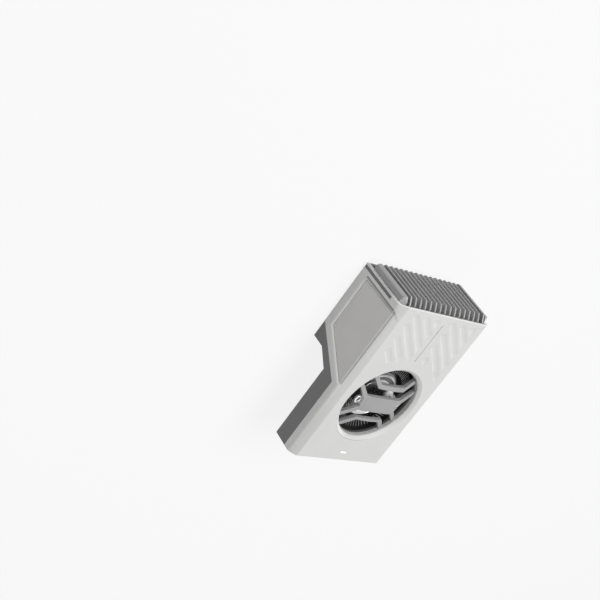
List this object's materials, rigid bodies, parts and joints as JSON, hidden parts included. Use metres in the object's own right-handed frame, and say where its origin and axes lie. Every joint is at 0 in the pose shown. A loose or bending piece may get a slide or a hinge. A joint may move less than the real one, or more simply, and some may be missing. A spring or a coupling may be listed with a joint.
{
  "type": "controller cooling fan",
  "caption": "Clip-in phone cooler for a stretch game controller: stepped bevelled case, guarded blower intake, finned heat sink at one end and a cold plate that faces the phone.",
  "frame": {"origin": "middle of the bounding box in X and Y, on the thermal pad's phone face, which is the lowest face", "axes": "+X across the cooler, +Y from the plain end to the fin end, +Z from the phone to the back face with the intake"},
  "size_m": [0.0534, 0.0816, 0.028],
  "materials": {
    "shell_plastic": "fine matt moulding",
    "panel_plastic": "fine matt moulding",
    "tray_plastic": "fine matt moulding",
    "strip_plastic": "smoked translucent strip",
    "window_plastic": "clear light guide with a milky face",
    "fin_metal": "blasted and anodised",
    "guard_metal": "satin",
    "plate_metal": "machined",
    "motor_steel": "bright turned",
    "screw_steel": "plated",
    "black_plastic": "moulded",
    "core_steel": "laminated",
    "magnet_ferrite": "bonded magnet",
    "copper_wire": "enamelled winding",
    "bearing_bronze": "oiled sintered sleeve",
    "ceramic_white": "alumina",
    "pellet_metal": "sawn",
    "foam_black": "closed-cell foam",
    "pad_grey": "soft thermal pad",
    "board_green": "solder mask",
    "chip_black": "moulded",
    "socket_steel": "drawn shell"
  },
  "bodies": {
    "case": {"back_shell": "shell_plastic", "side_panel_left": "panel_plastic", "side_panel_right": "panel_plastic", "side_strip_left": "strip_plastic", "side_strip_right": "strip_plastic", "base_tray": "tray_plastic", "heat_sink": "fin_metal", "fan_guard": "guard_metal", "motor_plate": "motor_steel", "motor_screws": "screw_steel", "bearing_sleeve": "bearing_bronze", "stator_core": "core_steel", "coils": "copper_wire", "blower_housing": "black_plastic", "thermal_pad": "pad_grey", "cold_plate": "plate_metal", "cold_ceramic": "ceramic_white", "hot_ceramic": "ceramic_white", "thermo_pellets": "pellet_metal", "foam_frame": "foam_black", "circuit_board": "board_green", "board_chips": "chip_black", "light_pipe": "window_plastic", "power_socket": "socket_steel", "case_screws": "screw_steel", "sink_screws": "screw_steel", "housing_screws": "screw_steel", "board_screws": "screw_steel"},
    "rotor": {"impeller": "black_plastic", "magnet_ring": "magnet_ferrite", "shaft": "motor_steel"}
  },
  "joints": [
    {"name": "rotor_spin", "type": "hinge", "parent": "case", "child": "rotor", "pos_m": [0, -0.0098, 0.0174], "axis": [0, 0, 1], "continuous": true}
  ]
}
